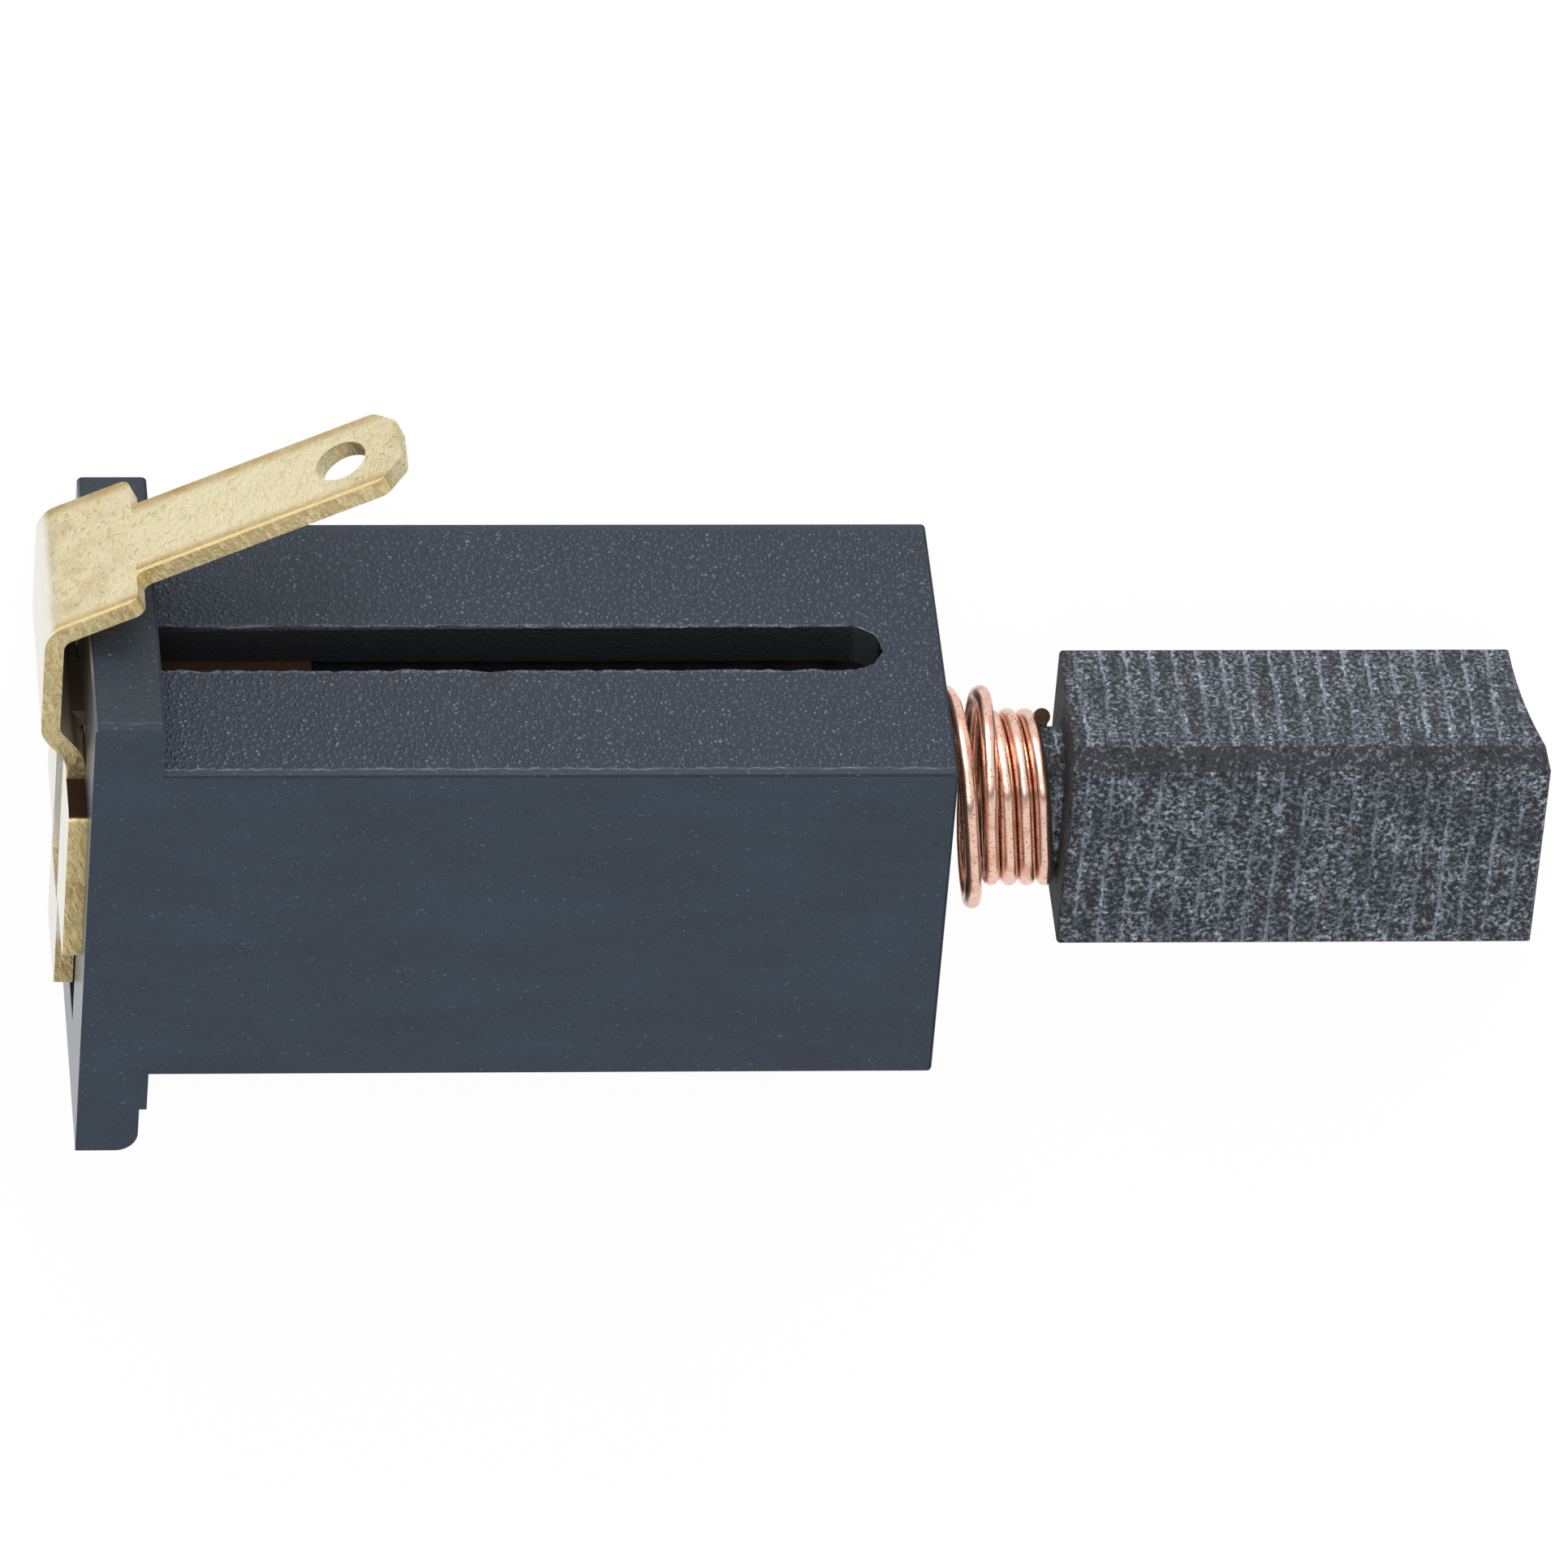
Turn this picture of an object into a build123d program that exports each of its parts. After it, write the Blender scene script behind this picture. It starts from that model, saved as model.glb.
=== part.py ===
"""Motor carbon brush in its push-in holder, lying on its smooth side.

Millimetres. +X runs along the brush from the flange to the carbon, +Y is the
slotted side that the tab rises from, and +Z is up. The origin is on the side
face that the holder lies on, below the brush's axis, in the plane of the
flange's seat.
"""

import os
from math import cos, pi, radians, sin, tan

from build123d import *

# Sleeve and flange of the holder
sleeve_side = 10.4
sleeve_length = 20.9
sleeve_edge_radius = 0.1
mouth_edge_radius = 0.12
flange_thickness = 1.85
tab_side_ear = 1.6
ear_edge_radius = 0.15
far_side_ear = 2.65
far_ear_root = 1.2
far_ear_setback = 0.2
far_ear_nose_radius = 0.6

# Carbon block
carbon_width = 6.5
carbon_thickness = 4.5
carbon_length = 12.12
carbon_stand_off = 3.48
carbon_bevel = 0.5
carbon_corner_radius = 0.1
commutator_radius = 16.0
contact_axis_shift = 0.15
stud_length = 1.9
stud_end_chamfer = 0.15

# Bore, slot and the groove behind the slot
bore_clearance = 0.1
bore_corner_radius = 0.25
slot_width = 1.8
slot_end_margin = 1.6
slot_wall = 1.2
groove_clearance = 0.1
groove_overreach = 0.7
shutoff_pad_height = 0.12
shutoff_pad_width = 1.7

# Terminal sheet
sheet_thickness = 0.5
bend_radius = 0.35
tab_width = 2.8
tab_length = 7.61
tab_angle = 26.5
tab_end_chamfer = 0.65
tab_end_round = 0.4
tab_hole_radius = 0.7
tab_hole_inset = 1.67
strip_width = 5.0
strip_gap = 0.72
strip_lift = 0.97
strip_reach = 2.66
shoulder_radius = 0.3
shoulder_root_radius = 0.2
jog_inset = 0.9
jog_drop = 0.9
wing_span = 8.0
wing_height = 5.0
wing_inset = 2.35
wing_corner_radius = 0.3
tongue_width = 3.1
tongue_end_margin = 2.6
tongue_corner_radius = 0.3
tongue_recess_margin = 0.65
tongue_recess_depth = 0.3
leg_width = 2.2
leg_reach = 4.25
leg_bend_share = 0.9
leg_window_clearance = 0.05
barb_count = 2
barb_pitch = 1.2

# Spring
wire_diameter = 0.46
spring_clearance = 0.12
seat_gap = 0.01
grip_clearance = 0.03
grip_inset = 0.62
open_turns = 18
closed_turns = 1
closed_pitch = 0.5
last_half_pitch = 0.95
grip_turns = 4
grip_pitch = 0.48
grip_lean = 5.8
seat_turns = 0.4
step_turns = 0.45
pitch_blend_turns = 0.1
top_angle = -40.0
arc_steps = 8
straight_steps = 2
loft_laps = 2
ring_arcs = 8

# One overrun serves every cut
overrun = 1.0

# Levels worked out from the sizes above
axis_z = sleeve_side / 2
side_y = sleeve_side / 2
back_x = -flange_thickness
bore_width = carbon_width + 2 * bore_clearance
bore_thickness = carbon_thickness + 2 * bore_clearance
groove_ceiling = side_y - slot_wall
groove_width = leg_width + 2 * groove_clearance
slot_end_x = sleeve_length - slot_end_margin
carbon_rear_x = sleeve_length + carbon_stand_off
axis_plane = Plane((0, 0, axis_z), x_dir=(1, 0, 0), z_dir=(0, 0, 1))


def across(x):
    """Plane square to the brush's axis at x: local X is row Y, local Y is row Z."""
    return Plane((x, 0, axis_z), x_dir=(0, 1, 0), z_dir=(1, 0, 0))


def facing_up(y):
    """Plane facing +Y at the height y above the axis: local X is row X, local Y is row -Z."""
    return Plane((0, y, axis_z), x_dir=(1, 0, 0), z_dir=(0, 1, 0))


# Holder: one moulding
with BuildPart() as brush_holder:
    # square sleeve, run back through the flange
    with BuildSketch(across(back_x)):
        Rectangle(sleeve_side, sleeve_side)
    extrude(amount=flange_thickness + sleeve_length)
    sleeve_edges = brush_holder.edges().filter_by(Axis.X)
    fillet(sleeve_edges, sleeve_edge_radius)

    # flange: the tab side ear is plain, the far ear steps back and has a round nose
    with BuildSketch(axis_plane):
        with BuildLine():
            far_y = -side_y - far_side_ear
            step_y = -side_y - far_ear_root
            Polyline(
                (back_x, side_y + tab_side_ear),
                (0, side_y + tab_side_ear),
                (0, step_y),
                (-far_ear_setback, step_y),
                (-far_ear_setback, far_y),
                (back_x, far_y),
                close=True,
            )
        make_face()
    extrude(amount=sleeve_side / 2, both=True)
    nose = brush_holder.edges().filter_by(Axis.Z).filter_by_position(Axis.Y, far_y, far_y)
    fillet(nose.sort_by(Axis.X)[-1], far_ear_nose_radius)
    ear_top = brush_holder.edges().filter_by(Axis.Z).group_by(Axis.Y)[-1]
    fillet(ear_top, ear_edge_radius)
    mouth_rim = brush_holder.faces().sort_by(Axis.X)[-1].edges()
    fillet(mouth_rim, mouth_edge_radius)

    # pad on the ear where the slot's core met the flange
    pad_radius = (shutoff_pad_width**2 / 4 + shutoff_pad_height**2) / (2 * shutoff_pad_height)
    with BuildSketch(facing_up(side_y - sleeve_edge_radius)):
        with Locations((shutoff_pad_height - pad_radius, 0)):
            Circle(pad_radius)
        Rectangle(overrun, shutoff_pad_width, mode=Mode.INTERSECT)
    extrude(amount=tab_side_ear)

    # rectangular bore from end to end
    with BuildSketch(across(back_x)):
        RectangleRounded(bore_width, bore_thickness, bore_corner_radius)
    extrude(amount=flange_thickness + sleeve_length, mode=Mode.SUBTRACT)

    # shallow recess in the flange's back, round the plate's tongue
    recess_end_y = far_y + tongue_end_margin - tongue_recess_margin
    with BuildSketch(across(back_x)):
        with Locations((recess_end_y / 2, 0)):
            Rectangle(-recess_end_y, tongue_width + 2 * tongue_recess_margin)
    extrude(amount=tongue_recess_depth, mode=Mode.SUBTRACT)

    # groove that the terminal's leg is pushed into, open at the back
    with BuildSketch(across(back_x)):
        with Locations((groove_ceiling / 2, 0)):
            Rectangle(groove_ceiling, groove_width)
    extrude(amount=flange_thickness + slot_end_x + groove_overreach, mode=Mode.SUBTRACT)

    # slot through the wall, round at the mouth's end
    with BuildSketch(facing_up(groove_ceiling / 2)):
        with BuildLine():
            turn_x = slot_end_x - slot_width / 2
            Line((0, slot_width / 2), (turn_x, slot_width / 2))
            ThreePointArc((turn_x, slot_width / 2), (slot_end_x, 0), (turn_x, -slot_width / 2))
            Polyline((turn_x, -slot_width / 2), (0, -slot_width / 2), (0, slot_width / 2))
        make_face()
    extrude(amount=side_y, mode=Mode.SUBTRACT)

# Terminal: levels of the bent sheet, seen from the side
plate_outer_x = back_x - sheet_thickness
strip_outer_x = plate_outer_x - strip_gap
bend_y = side_y + tab_side_ear + strip_lift
jog_top_y = side_y - jog_inset
leg_foot_y = groove_ceiling - sheet_thickness
wing_top_y = side_y - wing_inset
wing_foot_y = wing_top_y - wing_height
tongue_end_y = -side_y - far_side_ear + tongue_end_margin
window_height = leg_reach - back_x
tab_tip_u = strip_reach + tab_length
tab_cos = cos(radians(tab_angle))
tab_sin = sin(radians(tab_angle))
tab_plane = Plane(
    (strip_outer_x, bend_y, axis_z), x_dir=(tab_cos, tab_sin, 0), z_dir=(-tab_sin, tab_cos, 0)
)

with BuildPart() as terminal_clip:
    # tab, strip over the ear, jog and plate: one bent run of sheet
    with BuildSketch(axis_plane):
        with BuildLine():
            FilletPolyline(
                (strip_outer_x + tab_tip_u * tab_cos, bend_y + tab_tip_u * tab_sin),
                (strip_outer_x, bend_y),
                (strip_outer_x, jog_top_y),
                (plate_outer_x, jog_top_y - jog_drop),
                (plate_outer_x, wing_foot_y),
                radius=bend_radius + sheet_thickness,
            )
            offset(amount=sheet_thickness, side=Side.LEFT)
        make_face()
    extrude(amount=strip_width / 2, both=True)

    # plan of the strip and the narrower tab, with rounded shoulders
    with BuildSketch(tab_plane):
        with BuildLine():
            tab_half = tab_width / 2
            strip_half = strip_width / 2
            strip_end_u = wing_foot_y - bend_y - overrun
            Polyline(
                (strip_end_u, strip_half),
                (strip_reach, strip_half),
                (strip_reach, tab_half),
                (tab_tip_u - tab_end_chamfer, tab_half),
                (tab_tip_u, tab_half - tab_end_chamfer),
                (tab_tip_u, tab_end_chamfer - tab_half),
                (tab_tip_u - tab_end_chamfer, -tab_half),
                (strip_reach, -tab_half),
                (strip_reach, -strip_half),
                (strip_end_u, -strip_half),
                close=True,
            )
        make_face()
        shoulder = vertices().filter_by_position(Axis.X, strip_reach, strip_reach).sort_by(Axis.Y)
        fillet([shoulder[0], shoulder[-1]], shoulder_radius)
        shoulder_root = vertices().filter_by_position(Axis.X, strip_reach, strip_reach)
        fillet(shoulder_root.filter_by_position(Axis.Y, -tab_half, tab_half), shoulder_root_radius)
        chamfer_u = tab_tip_u - tab_end_chamfer
        tip_corners = vertices().filter_by_position(Axis.X, chamfer_u, tab_tip_u)
        fillet(tip_corners, tab_end_round)
    extrude(amount=tab_tip_u, both=True, mode=Mode.INTERSECT)

    # hole that the push-on receptacle's dimple locks in
    with Locations(tab_plane):
        with Locations((tab_tip_u - tab_hole_inset, 0)):
            Hole(tab_hole_radius, depth=2 * sheet_thickness)

    # wings and tongue of the plate on the flange's back
    with BuildSketch(across(plate_outer_x)):
        with Locations((wing_foot_y + wing_height / 2, 0)):
            RectangleRounded(wing_height, wing_span, wing_corner_radius)
        with Locations(((wing_top_y + tongue_end_y) / 2, 0)):
            RectangleRounded(wing_top_y - tongue_end_y, tongue_width, tongue_corner_radius)
    extrude(amount=sheet_thickness)

    # window that the leg was cut from
    with BuildSketch(across(plate_outer_x - overrun)):
        with Locations((leg_foot_y - window_height / 2, 0)):
            Rectangle(window_height, leg_width + 2 * leg_window_clearance)
    extrude(amount=2 * overrun + sheet_thickness, mode=Mode.SUBTRACT)

    # leg, folded forward into the holder's groove
    with BuildSketch(axis_plane):
        with BuildLine():
            FilletPolyline(
                (plate_outer_x, groove_ceiling),
                (plate_outer_x, leg_foot_y),
                (leg_reach, leg_foot_y),
                radius=sheet_thickness * leg_bend_share,
            )
            Polyline(
                (leg_reach, leg_foot_y),
                (leg_reach, groove_ceiling),
                (plate_outer_x, groove_ceiling),
            )
        make_face()
    extrude(amount=leg_width / 2, both=True)

    # barbs along the leg's edges that bite the groove's sides
    with BuildSketch(facing_up(leg_foot_y)):
        for barb in range(barb_count):
            for side in (1, -1):
                barb_x = leg_reach - (barb + 1) * barb_pitch
                with BuildLine():
                    Polyline(
                        (barb_x, side * leg_width / 2),
                        (barb_x, side * groove_width / 2),
                        (barb_x + barb_pitch / 2, side * leg_width / 2),
                        close=True,
                    )
                make_face()
    extrude(amount=sheet_thickness)

# Spring: sizes of its turns, measured at the middle of the wire
wire_radius = wire_diameter / 2
large_radius = bore_thickness / 2 - spring_clearance - wire_radius
grip_radius = large_radius - grip_inset
straight_half = (bore_width - bore_thickness) / 2
grip_inner_radius = grip_radius - wire_radius

# Carbon: pressed block with a stud that the spring grips
far_side_z = -carbon_thickness / 2
contact_centre_x = carbon_rear_x + carbon_length + commutator_radius
contact_centre_z = far_side_z - contact_axis_shift
block_length = carbon_length + carbon_thickness

with BuildPart() as carbon_block:
    with BuildSketch(across(carbon_rear_x)):
        Rectangle(carbon_width, carbon_thickness)
    extrude(amount=block_length)
    rear_rim = carbon_block.faces().sort_by(Axis.X)[0].edges()
    fillet(rear_rim, carbon_corner_radius)

    # face worn to the commutator's radius, its axis just below the block
    with BuildSketch(facing_up(0)):
        with Locations((contact_centre_x, -contact_centre_z)):
            Circle(commutator_radius)
    extrude(amount=carbon_width, both=True, mode=Mode.SUBTRACT)

    # bevel on the long edge between the slotted side and the upper side
    with BuildSketch(across(carbon_rear_x - overrun)):
        with BuildLine():
            corner = (carbon_width / 2, carbon_thickness / 2)
            Polyline(
                (corner[0] - carbon_bevel, corner[1] + overrun),
                (corner[0] - carbon_bevel, corner[1]),
                (corner[0], corner[1] - carbon_bevel),
                (corner[0] + overrun, corner[1] - carbon_bevel),
                (corner[0] + overrun, corner[1] + overrun),
                close=True,
            )
        make_face()
    extrude(amount=block_length + 2 * overrun, mode=Mode.SUBTRACT)

    # stud inside the spring's four close turns
    with BuildSketch(across(carbon_rear_x)):
        stud_radius = grip_inner_radius - grip_clearance
        SlotCenterToCenter(2 * straight_half, 2 * stud_radius)
    extrude(amount=-stud_length)
    stud_rim = carbon_block.faces().sort_by(Axis.X)[0].edges()
    chamfer(stud_rim, stud_end_chamfer)

# Spring: one wire, wound on a form with two round ends and two straight sides
arc_length = pi * large_radius
straight_length = 2 * straight_half
round_length = 2 * (arc_length + straight_length)
top_turn = (top_angle + 90) / 180 * arc_length / round_length
lean_slope = tan(radians(grip_lean))
lean_reach = lean_slope * (grip_radius + straight_half * cos(radians(top_angle)))
grip_span = grip_turns * grip_pitch
seat_span = (grip_turns - seat_turns) * grip_pitch
grip_start_x = carbon_rear_x - seat_gap - wire_radius - lean_reach - seat_span
closed_x = back_x + seat_gap + wire_radius
first_turn = -open_turns - closed_turns
ring_arc_angle = 360 / ring_arcs

# Places along the axis, for turns counted from the top of the last large turn
coil_stations = [
    (first_turn, closed_x),
    (-open_turns, closed_x + closed_turns * closed_pitch),
    (-1, grip_start_x - last_half_pitch),
    (-0.5, grip_start_x),
    (0, grip_start_x),
    (grip_turns, grip_start_x + grip_span),
]


def station_x(turn):
    """Place along the axis, on straight runs between the stations."""
    turn = min(max(turn, first_turn), grip_turns)
    for (turn_a, x_a), (turn_b, x_b) in zip(coil_stations, coil_stations[1:]):
        if turn <= turn_b:
            return x_a + (turn - turn_a) / (turn_b - turn_a) * (x_b - x_a)


def coil_x(turn):
    """Mean place over a short run of wire, so that the pitch changes smoothly."""
    offsets = [share * pitch_blend_turns for share in (-1, -0.5, 0, 0.5, 1)]
    return sum(station_x(turn + offset) for offset in offsets) / len(offsets)


def coil_step(turn):
    """Share of the way from the large turns to the grip turns, rising smoothly."""
    step = min(max(turn / step_turns, 0), 1)
    return step * step * (3 - 2 * step)


def coil_point(turn, end, angle, along):
    """Point on the round end at y = end, or on the straight side that follows it."""
    radius = large_radius - grip_inset * coil_step(turn)
    y = end * straight_half + radius * cos(radians(angle)) - end * along
    z = radius * sin(radians(angle))
    height = y * cos(radians(top_angle)) + z * sin(radians(top_angle))
    lean = coil_step(turn) * lean_slope * height
    return (coil_x(turn) - lean, y, axis_z + z)


coil_points = []
for lap in range(first_turn, grip_turns + 1):
    for end in (1, -1):
        lap_share = 0 if end > 0 else 0.5
        steps = [(step / arc_steps, 0) for step in range(arc_steps + 1)]
        steps += [(1, step / straight_steps) for step in range(1, straight_steps)]
        for arc_share, straight_share in steps:
            travelled = arc_share * arc_length + straight_share * straight_length
            turn = lap + lap_share + travelled / round_length - top_turn
            if first_turn <= turn <= grip_turns:
                angle = -90 + 180 * arc_share + (0 if end > 0 else 180)
                coil_points.append(coil_point(turn, end, angle, straight_share * straight_length))


def heading(index):
    """Direction of the wire at a point, from the points on its two sides."""
    before = Vector(*coil_points[max(index - 1, 0)])
    after = Vector(*coil_points[min(index + 1, len(coil_points) - 1)])
    return (after - before).normalized()


def ring_plane(index):
    """Plane square to the wire at a point, its local X kept near the brush's axis."""
    along = heading(index)
    sideways = Vector(1, 0, 0) - along * along.X
    return Plane(coil_points[index], x_dir=sideways, z_dir=along)


with BuildPart() as pressure_spring:
    # the wire is lofted through rings, each a few arcs so that its facets come out even
    last_point = len(coil_points) - 1
    loft_steps = loft_laps * 2 * (arc_steps + straight_steps)
    for start in range(0, last_point, loft_steps):
        for index in range(start, min(start + loft_steps, last_point) + 1):
            with BuildSketch(ring_plane(index)):
                with BuildLine():
                    for arc in range(ring_arcs):
                        CenterArc((0, 0), wire_radius, arc * ring_arc_angle, ring_arc_angle)
                make_face()
        loft()

# One STEP file for each piece
os.makedirs("parts", exist_ok=True)
pieces = {
    "brush_holder": brush_holder,
    "terminal_clip": terminal_clip,
    "pressure_spring": pressure_spring,
    "carbon_block": carbon_block,
}
for name, piece in pieces.items():
    piece.part.label = name
    export_step(piece.part, "parts/" + name + ".step")
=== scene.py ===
"""Looks of a motor carbon brush, built around its CAD frame.

Metres, in the frame of the CAD model: +X from the flange to the carbon, +Y the
slotted side that the tab rises from, +Z up. The brush lies on a smooth side.
"""

import math

import bmesh
import bpy
import numpy as np
from bpy.props import FloatProperty, FloatVectorProperty, IntProperty, PointerProperty
from mathutils import Matrix, Vector, noise


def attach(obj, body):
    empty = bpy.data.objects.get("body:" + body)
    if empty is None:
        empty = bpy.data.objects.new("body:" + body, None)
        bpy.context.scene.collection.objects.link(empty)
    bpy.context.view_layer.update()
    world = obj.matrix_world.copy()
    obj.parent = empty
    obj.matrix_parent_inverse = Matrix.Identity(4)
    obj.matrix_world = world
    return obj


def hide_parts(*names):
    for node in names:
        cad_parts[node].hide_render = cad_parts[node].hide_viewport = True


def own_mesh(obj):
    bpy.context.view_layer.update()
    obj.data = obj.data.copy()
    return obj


bl_info = {
    "name": "Carbon brush looks",
    "version": (1, 0, 0),
    "blender": (4, 2, 0),
    "location": "View3D > Sidebar > Brush",
    "description": "Moulded holder, folded terminal, spring and carbon of a motor brush",
    "category": "Add Mesh",
}

MM = 0.001
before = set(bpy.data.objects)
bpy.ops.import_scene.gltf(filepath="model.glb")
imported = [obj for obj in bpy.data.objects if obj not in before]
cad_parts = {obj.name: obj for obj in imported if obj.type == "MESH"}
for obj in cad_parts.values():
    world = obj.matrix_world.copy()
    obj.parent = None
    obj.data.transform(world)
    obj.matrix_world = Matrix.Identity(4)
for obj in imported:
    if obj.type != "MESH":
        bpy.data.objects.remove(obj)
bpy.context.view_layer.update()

# Holder, in millimetres, as the CAD model has it
HALF_SIDE = 5.2
AXIS_Z = 5.2
BACK_X = -1.85
MOUTH_X = 20.9
SLOT_HALF = 0.9
SLOT_END_X = 19.3

# Terminal, in millimetres: the strip's outer plane, its bend, and its tab's shoulders from the bend
STRIP_X = -3.07
BEND_Y = 7.77
TAB_ANGLE = math.radians(26.5)
SHOULDER_U = 2.66
STRIP_HALF = 2.5
TAB_HALF = 1.4

# Bounds of the terminal's patches of finish and of painted shade and reflection, in millimetres:
# two numbers are a gradual bound
LEG_FOOT_Y = 2.8
LEG_TOP_Y = 4.1
LEG_BACK_X = (-1.2, -1.7)
ROOT_HALF = 1.5
ROOT_X = -2.3
WINDOW_HALF = 1.8
WINDOW_FOOT_Y = (-3.8, -3.2)
PLATE_TOP_Y = (3.2, 2.6)
JOG_X = -2.7
JOG_Y = 3.3
JOG_TOP_Y = 4.0
INNER_TOP_Y = 7.2
RUBBED_U = 5.4

# Spring, in millimetres and in turns: large turns in the holder, close ones that grip the carbon
LARGE_RADIUS = 2.0
STRAIGHT_HALF = 1.0
GRIP_RADIUS = 1.38
CLOSED_X = -1.61
OPEN_X = -1.11
LAST_LARGE_X = 21.244
GRIP_START_X = 22.194
GRIP_END_X = 24.114
OPEN_TURNS = 18
CLOSED_TURNS = 1
GRIP_TURNS = 4
STEP_TURNS = 0.45
PITCH_BLEND_TURNS = 0.1
LEAN = math.tan(math.radians(5.8))
TOP_ANGLE = -40.0

# Edges of a dressed CAD copy: flatter ones are dissolved, shown smooth or rounded by these angles
WELD = 0.0005 * MM
FLAT_ANGLE = math.radians(0.5)
SMOOTH_ANGLE = math.radians(30)
ROUND_ANGLE = math.radians(35)

# Broken rim of the slot, in millimetres: its start, depth and step, and octaves of size and height
RIM_START_X = 0.1
RIM_DEPTH = 0.15
RIM_STEP = 0.1
RIM_OCTAVES = ((1.2, 0.06), (0.5, 0.07), (0.2, 0.06))
RIM_SEED = 1

# How far inside the part's back and mouth, in millimetres, its painted shade inside begins
INSIDE_MARGIN = 0.05

# How far the dust lies behind each grinding mark, in radians of the marks' wave
WAKE_LAG = 0.9

# Stage: each soft box's name, place, width and height in metres, and power in watts
LAMPS = (
    ("key_soft_box", (0.0, 0.42, 0.2), (0.25, 0.4), 3.7),
    ("front_soft_box", (0.0, 0.1, 0.46), (0.25, 0.36), 0.55),
)
LAMP_AIM = (0.017, 0.0, 0.005)
WHITE = (1.0, 1.0, 1.0)
FLOOR_GAP = 0.00001
FLOOR_GLOW_SHARE = 0.96
WORLD_LIGHT = 0.32
FLAG_LEVEL = 0.15
FLAG_TILTS = ((1.7, 1.8), (2.1, 1.95))

# Place and turn of the camera that took the photograph, fitted to the holder's corners
CAMERA_MATRIX = (
    (0.99462, 0.00274, -0.1036, -0.02770),
    (0.06512, 0.76109, 0.64537, 0.27892),
    (0.08062, -0.64864, 0.75681, 0.33173),
    (0, 0, 0, 1),
)


def linear(code):
    """Linear red, green and blue of an sRGB hex colour, by the standard's two-part curve."""
    shares = [int(code[i : i + 2], 16) / 255 for i in (1, 3, 5)]
    return tuple(c / 12.92 if c <= 0.04045 else ((c + 0.055) / 1.055) ** 2.4 for c in shares)


def colour_property(name, code, description):
    """A colour that the user can change, with its default given as sRGB hex."""
    return FloatVectorProperty(
        name=name,
        description=description,
        subtype="COLOR",
        size=3,
        min=0,
        max=1,
        default=linear(code),
    )


def length_property(name, millimetres, description):
    """A length that the user can change, with its default given in millimetres."""
    return FloatProperty(
        name=name,
        description=description,
        default=millimetres * MM,
        subtype="DISTANCE",
        unit="LENGTH",
    )


class BRUSH_PG_holder(bpy.types.PropertyGroup):
    """Moulded holder."""

    edge_round: length_property("Edge round", 0.06, "Width of the rounding on the crisp edges")
    colour: colour_property("Plastic", "#1e2a37", "Body colour of the moulded plastic")
    # The worn colour is partly painted highlight: on grain tips, the flange's back edge and
    # backward faces
    wear_and_highlight_colour: colour_property("Wear and painted highlight", "#87909a", "Colour of rubbed edges, and painted highlight on grain tips")
    # Painted shade in the bore and the slot
    shaded_colour: colour_property("Cored plastic", "#04060a", "Colour in the bore and the slot")
    # Painted shade and brown reflection in the gap behind the strip
    gap_shade_colour: colour_property("Painted gap shade", "#7d7565", "Colour of the back behind the strip")
    grain: length_property("Spark grain", 0.2, "Size of the spark-eroded grain on the slotted side")
    plain_edge: length_property("Plain edge", 0.3, "Width of the plain band beside the long edges")


class BRUSH_PG_terminal(bpy.types.PropertyGroup):
    """Folded brass terminal."""

    edge_round: length_property("Edge round", 0.08, "Width of the rounding on the sheared edges")
    colour: colour_property("Rolled face", "#e1d8b6", "Colour of the sheet's rolled faces")
    # Painted reflection on the faces that look backwards
    rear_reflection_colour: colour_property("Back", "#f7f7f5", "Colour of the faces that look backwards")
    stain_colour: colour_property("Stain", "#a08248", "Colour of stains and fine scratches")
    # Painted highlight along the near rounded edges
    ridge_highlight_colour: colour_property("Painted ridge highlight", "#ffe3a0", "Colour of the ridge on the edges")
    sheared_colour: colour_property("Sheared edge", "#e0cfa2", "Colour of the sheared edges")
    torn_colour: colour_property("Torn edge", "#a08650", "Colour of the edges' torn grooves")
    # Painted shade and brown reflection in the gap behind the strip
    gap_shade_colour: colour_property("Painted gap shade, brass", "#7d7565", "Colour of the inner side of the strip")
    # Painted shade on the leg, the strip's inner side and the corner behind the jog
    leg_shade_colour: colour_property("Leg", "#483526", "Painted shade on the leg inside the holder")


class BRUSH_PG_spring(bpy.types.PropertyGroup):
    """Pressure spring."""

    wire: length_property("Wire", 0.46, "Diameter of the wire")
    steps: IntProperty(name="Steps", description="Rings of wire in one turn", default=96, min=24)
    ring: IntProperty(name="Ring", description="Corners of one ring of wire", default=16, min=8)
    colour: colour_property("Copper", "#efc8b4", "Colour of the copper plating")
    tarnish_colour: colour_property("Tarnish", "#b96d50", "Colour of the duller spots")
    shaded_colour: colour_property("Shaded wire", "#1c120d", "Colour of the end and in the bore")


class BRUSH_PG_carbon(bpy.types.PropertyGroup):
    """Carbon block."""

    edge_round: length_property("Edge round", 0.06, "Width of the rounding on the block's edges")
    dark_colour: colour_property("Graphite", "#14181f", "Colour between the ground ridges")
    pale_colour: colour_property("Ground graphite", "#a6b0bd", "Colour of ground ridges and specks")
    # Painted shade: the bevel is painted darker
    bevel_shade_colour: colour_property("Bevel", "#5e5d5c", "Colour of the grains on the bevel")
    pore_colour: colour_property("Pores", "#121416", "Colour of the open pores")
    streak: length_property("Grinding marks", 0.65, "Distance from one grinding mark to the next")


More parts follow.
